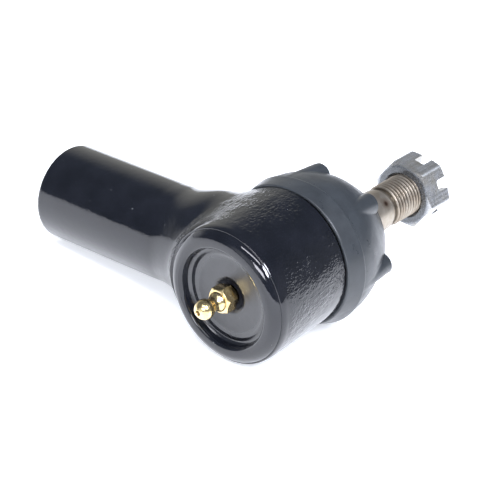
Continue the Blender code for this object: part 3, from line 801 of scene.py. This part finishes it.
def boot_piece(name, y_low, y_high, top):
    fine = 0.28
    ys = list(np.linspace(y_low, y_high, int((y_high - y_low) / fine) + 2))
    ys += [y for y in (10.1, 10.2, 10.5, 16.1, 16.3, 16.45, 16.6, 16.7, 16.8, LUG_END - 0.12, LUG_END, LUG_END + 0.05,
                       LUG_END + 0.12, LUG_END + 0.17, 37.3, 37.42, 37.55, 37.68, 37.8, 37.95, 38.1, 38.25)
           if y_low < y < y_high]
    ys += [y_low + 0.05, y_high - 0.05]
    ys = sorted(set(round(y, 4) for y in ys))
    rows = []
    for y in ys:
        rows.append((outer_radius(y), np.full(COLS, y)))
    lip = STUD_TAPER_R + (STUD_TAPER_Y - 38.4) * 0.0625 + 0.35
    if top:
        for r, y in ((14.9, 38.5), (14.4, 38.5), (13.4, 38.45), (12.0, 38.35), (10.4, 38.3), (9.4, 38.4),
                     (lip + 0.35, 38.45), (lip + 0.1, 38.35), (lip, 38.1), (lip + 0.1, 37.2), (lip + 0.15, 36.3),
                     (lip + 1.8, 36.2), (12.8, 36.2)):
            rows.append((np.full(COLS, r), np.full(COLS, y)))
    low_in = max(y_low, 17.65)
    top_in = min(y_high, 36.1)
    for y in np.linspace(top_in, low_in, int((top_in - low_in) / 0.8) + 2):
        rows.append((np.full(COLS, float(spline(INNER, np.array([y]))[0])), np.full(COLS, y)))
    if y_low < 17.0:                          # the cuff round the collar
        for r, y in ((18.4, 18.9), (18.4, 17.6)):
            pass
        for r, y in ((22.9, 17.2), (22.7, 10.4), (22.8, 10.15), (23.0, 10.05), (23.5, 10.02)):
            rows.append((np.full(COLS, r), np.full(COLS, y)))
    n_rows = len(rows)
    v = np.concatenate([np.stack([r * np.cos(th), y, r * np.sin(th)], 1) for r, y in rows])
    lean = 0.5 + 0.5 * np.clip((17.0 - v[:, 1]) / 7.0, 0, 1)
    lean *= np.clip((39.5 - v[:, 1]) / 8.0, 0.35, 1)      # the soft boot follows the barrel's edge
    v[:, 0] += LEAN_X * lean
    v[:, 2] += LEAN_Z * lean
    over = np.clip(v[:, 2] - 21.5, 0, None)               # and is squashed a little on top
    v[:, 2] -= 0.038 * over * over
    q = grid_faces(n_rows, COLS)
    last = np.arange(COLS)
    j2 = (last + 1) % COLS
    close = np.stack([(n_rows - 1) * COLS + last, (n_rows - 1) * COLS + j2, j2, last], 1)
    return outward(add_mesh(name, v, np.concatenate([q, close])))


SEAM = 26.0
boot_low = boot_piece("boot_cuff", 10.05, SEAM, False)
boot_high = boot_piece("boot_crown", SEAM, 38.4, True)
finish_mesh(boot_low, mat_rubber, None, "dust_boot", 38.0)
finish_mesh(boot_high, mat_rubber, None, "dust_boot", 38.0)
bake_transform(boot_low, "socket", "upper_bearing_body", world_point(0, 17.0, 0), world_point(0, SEAM, 0))
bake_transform(boot_high, "upper_bearing_body", "lower_bearing_body", world_point(0, SEAM, 0), world_point(0, 35.5, 0))

# ------------------------------------------------------------------ ball stud
low_r = STUD_TAPER_R + (STUD_TAPER_Y - 29.0) * 0.0625
prof = [(0.0, -11.41)] + ball_arc(12.0, 162.0, 30.0, 40) + [
    (6.0, 11.2), (6.0, 19.5), (6.2, 20.6), (6.9, 22.4), (7.8, 24.6), (8.35, 26.6), (low_r, 29.0)]
for i in range(1, 26):
    y = 29.0 + (STUD_TAPER_Y - 29.0) * i / 25.0
    prof.append((STUD_TAPER_R + (STUD_TAPER_Y - y) * 0.0625, y))
prof += [(STUD_TAPER_R - 0.08, STUD_TAPER_Y + 0.10), (STUD_TAPER_R - 0.75, STUD_TAPER_Y + 0.85),
         (6.25, 55.3), (6.22, 56.3)]
rows_p = np.array(prof[1:])
cols = 160
ang = np.linspace(0, 2 * math.pi, cols, endpoint=False)
sheet = [np.stack([r * np.cos(ang), np.full(cols, y), r * np.sin(ang)], 1) for r, y in rows_p]
t0, t1 = 56.4, 73.4
per = 16
hh = np.linspace(t0, t1, int((t1 - t0) / THREAD_PITCH * per))
MAJOR, MINOR = 7.12, 6.22
for h in hh:
    ph = (h / THREAD_PITCH - ang / (2 * math.pi)) % 1.0
    tri = 1.0 - np.abs(ph * 2 - 1)
    prof_t = np.clip((tri - 0.16) / (1.0 - 0.16 - 0.14), 0, 1)
    rad = MINOR + (MAJOR - MINOR) * (prof_t ** 0.95)
    start = min(1.0, (h - t0) / 1.0)
    end = min(1.0, (t1 - h) / 1.0)
    cap = MINOR - 0.1 + (MAJOR - MINOR + 0.1) * min(start, end)
    rad = np.minimum(rad, cap)
    sheet.append(np.stack([rad * np.cos(ang), np.full(cols, h), rad * np.sin(ang)], 1))
sheet.append(np.stack([5.9 * np.cos(ang), np.full(cols, 73.5), 5.9 * np.sin(ang)], 1))
sheet.append(np.stack([1.6 * np.cos(ang), np.full(cols, 73.5), 1.6 * np.sin(ang)], 1))
sheet.append(np.stack([1.3 * np.cos(ang), np.full(cols, 73.35), 1.3 * np.sin(ang)], 1))
v = np.concatenate(sheet)
f = [tuple(q) for q in grid_faces(len(sheet), cols)]
n0 = len(v)
v = np.vstack([v, [0, prof[0][1], 0], [0, 72.2, 0]])
for j in range(cols):
    f.append((n0, (j + 1) % cols, j))
    k = (len(sheet) - 1) * cols
    f.append((n0 + 1, k + j, k + (j + 1) % cols))
stud = outward(add_mesh("stud", v, f))
finish_mesh(stud, mat_stud, "stud", "ball_stud", 50.0)

# ------------------------------------------------------------------ castle nut
AF, NY0, NY1, CORNER = 20.64, 67.66, 78.86, 50.9
SLOT_W, SLOT_D = 3.9, 4.5
cr = AF / math.sqrt(3)
v, f = [], []
for y in (NY0, NY1):
    for k in range(6):
        a = math.radians(CORNER + 60 * k)
        v.append((cr * math.cos(a), y, cr * math.sin(a)))
f = [tuple(range(6)), tuple(range(6, 12))] + [(k, (k + 1) % 6, 6 + (k + 1) % 6, 6 + k) for k in range(6)]
nut = outward(add_mesh("nut", v, f))
shape = turned("nut_shape", [
    (0.0, NY0), (AF / 2 - 0.45, NY0), (AF / 2 - 0.05, NY0 + 0.16), (cr + 0.35, NY0 + 1.25),
    (cr + 0.35, NY1 - 0.75), (AF / 2 + 0.25, NY1), (0.0, NY1)], SEG)
boolean(nut, shape, 'INTERSECT')
nb = turned("nut_bore", [
    (0.0, NY0 - 3.0), (8.2, NY0 - 3.0), (8.2, NY0 - 0.2), (7.2, NY0 + 0.9), (7.2, NY1 - 5.4), (7.7, NY1 - 5.0),
    (7.7, NY1 + 3.0), (0.0, NY1 + 3.0)], SEG)
boolean(nut, nb)
for k in range(6):
    a = math.radians(CORNER + 30 + 60 * k)
    d = Vector((math.cos(a), 0, math.sin(a)))
    s = Vector((-math.sin(a), 0, math.cos(a)))
    v = []
    # slots with a flat floor and small rounded corners
    w = SLOT_W / 2
    sect = [(-w, NY1 + 3), (-w, NY1 - SLOT_D + 0.6), (-w + 0.18, NY1 - SLOT_D + 0.18), (-w + 0.6, NY1 - SLOT_D),
            (w - 0.6, NY1 - SLOT_D), (w - 0.18, NY1 - SLOT_D + 0.18), (w, NY1 - SLOT_D + 0.6), (w, NY1 + 3)]
    for side in (4.0, 20.0):
        for u, y in sect:
            p = d * side + s * u
            v.append((p.x, y, p.z))
    m = len(sect)
    f = [tuple(range(m)), tuple(range(m, 2 * m))] + [(i, (i + 1) % m, m + (i + 1) % m, m + i) for i in range(m)]
    boolean(nut, outward(add_mesh("nut_slot", v, f)))
tap = threaded_rod("nut_tap", 7.05, 7.65, THREAD_PITCH, NY0 - 1.0, NY1 - 5.1, 96, 10)
boolean(nut, tap)
bev = nut.modifiers.new("bevel", 'BEVEL')
bev.width = 0.00016
bev.segments = 2
bev.limit_method = 'ANGLE'
bev.angle_limit = math.radians(38)
apply_all(nut)
nut.name = "nut"
finish_mesh(nut, mat_nut, "nut", "castle_nut", 14.0)

# ------------------------------------------------------------------ carried-over solids
for node, mat in (("end_plate_seal", mat_seal), ("preload_spring", mat_dark_steel), ("pressure_seat", mat_seat),
                  ("lower_bearing", mat_bearing), ("upper_bearing", mat_bearing), ("boot_rim_ring", mat_dark_steel),
                  ("boot_lip_ring", mat_dark_steel)):
    ob = frame["nodes"][node]
    if len(ob.material_slots) == 0:
        ob.data.materials.append(mat)
    for sl in ob.material_slots:
        sl.material = mat
    stamp(ob.data)

# ------------------------------------------------------------------ stage
def lin(level, tint=(1.0, 1.0, 1.0)):
    return (level * tint[0], level * tint[1], level * tint[2], 1)


bpy.ops.mesh.primitive_plane_add(size=9.0, location=(0, 0, 0))
floor = bpy.context.object
floor.name = "floor"
n = Nodes("floor_white")
cloud = n.grey(n.noise(0.0012, 2.0, 0.5), [(0.3, 0.90), (0.7, 0.94)])
floor.data.materials.append(n.set(Base_Color=cloud, Roughness=0.85, IOR=1.25,
                                  Emission_Color=(0.95, 0.985, 1.05, 1), Emission_Strength=FLOOR_GLOW))
stamp(floor.data)

world = bpy.data.worlds.new("studio")
bpy.context.scene.world = world
world.use_nodes = True
wt = world.node_tree
bg = wt.nodes["Background"]
tc = wt.nodes.new("ShaderNodeTexCoord")


def wnode(kind, **kw):
    node = wt.nodes.new(kind)
    for key, val in kw.items():
        setattr(node, key, val)
    return node


def compass(az, el):
    a, e = math.radians(az), math.radians(el)
    return (math.cos(e) * math.cos(a), math.cos(e) * math.sin(a), math.sin(e))


def lobe(az, el, inner, outer, colour):
    """A soft patch of sky: full inside one angle, gone by another."""
    dot = wnode("ShaderNodeVectorMath", operation='DOT_PRODUCT')
    wt.links.new(tc.outputs["Generated"], dot.inputs[0])
    dot.inputs[1].default_value = compass(az, el)
    mr = wnode("ShaderNodeMapRange", interpolation_type='SMOOTHSTEP')
    wt.links.new(dot.outputs["Value"], mr.inputs["Value"])
    mr.inputs["From Min"].default_value = math.cos(math.radians(outer))
    mr.inputs["From Max"].default_value = math.cos(math.radians(inner))
    mul = wnode("ShaderNodeVectorMath", operation='SCALE')
    mul.inputs[0].default_value = colour[:3]
    wt.links.new(mr.outputs["Result"], mul.inputs["Scale"])
    return mul.outputs["Vector"]


total = None
for args in SKY:
    out = lobe(*args)
    if total is None:
        total = out
    else:
        add = wnode("ShaderNodeVectorMath", operation='ADD')
        wt.links.new(total, add.inputs[0])
        wt.links.new(out, add.inputs[1])
        total = add.outputs["Vector"]
add = wnode("ShaderNodeVectorMath", operation='ADD')
wt.links.new(total, add.inputs[0])
add.inputs[1].default_value = SKY_BASE[:3]
wt.links.new(add.outputs["Vector"], bg.inputs["Color"])
bg.inputs["Strength"].default_value = 1.0
pale = wnode("ShaderNodeBackground")
pale.inputs["Color"].default_value = (1, 1, 1, 1)
lp = wnode("ShaderNodeLightPath")
mx = wnode("ShaderNodeMixShader")
wt.links.new(lp.outputs["Is Camera Ray"], mx.inputs[0])
wt.links.new(bg.outputs[0], mx.inputs[1])
wt.links.new(pale.outputs[0], mx.inputs[2])
wt.links.new(mx.outputs[0], wt.nodes["World Output"].inputs["Surface"])


def area(name, az, el, distance, size, radiance, colour=(1, 1, 1), glossy=True, roll=0.0):
    """A softbox seen from the ball centre at a compass bearing and height."""
    data = bpy.data.lights.new(name, 'AREA')
    data.shape = 'RECTANGLE'
    data.size, data.size_y = size
    data.energy = radiance * math.pi * size[0] * size[1]
    data.color = colour
    ob = bpy.data.objects.new(name, data)
    bpy.context.scene.collection.objects.link(ob)
    d = Vector(compass(az, el))
    ob.location = CENTRE + d * distance
    ob.rotation_euler = (d.to_track_quat('Z', 'Y').to_matrix().to_4x4() @ Matrix.Rotation(math.radians(roll), 4, 'Z')).to_euler()
    ob.visible_glossy = glossy
    return ob


area("lamp_left", -67, 27, 1.2, (0.50, 0.26), 14.0, (0.96, 0.97, 1.06))
area("lamp_high", -72, 59, 1.2, (0.80, 0.16), 12.0, (0.97, 0.98, 1.05))
area("lamp_right", -24, 46, 1.2, (0.18, 0.46), 52.0, (0.93, 0.97, 1.09), roll=-25)
area("wash", -60, 75, 1.6, (2.4, 2.4), 1.8, (0.98, 0.99, 1.04), glossy=False)

# ------------------------------------------------------------------ camera
CAM_POS = (359.386, -408.661, 304.376)
CAM_RIGHT = (0.74774, 0.66361, -0.02232)
CAM_DOWN = (0.29998, -0.36762, -0.88027)
CAM_FWD = (-0.59236, 0.65152, -0.47396)
cam_data = bpy.data.cameras.new("camera")
cam = bpy.data.objects.new("camera", cam_data)
bpy.context.scene.collection.objects.link(cam)
cam_data.sensor_width = 36.0
cam_data.lens = 36.0 * 2000.0 / 480.0
cam_data.clip_start = 0.01
right = ROT @ Vector(CAM_RIGHT).normalized()
back = -(ROT @ Vector(CAM_FWD).normalized())
up = back.cross(right).normalized()
right = up.cross(back).normalized()
m = Matrix((right, up, back)).transposed().to_4x4()
m.translation = PLACE @ Vector(CAM_POS)
cam.matrix_world = m
bpy.context.scene.camera = cam
bpy.context.scene.view_settings.view_transform = 'Standard'

bpy.context.view_layer.update()
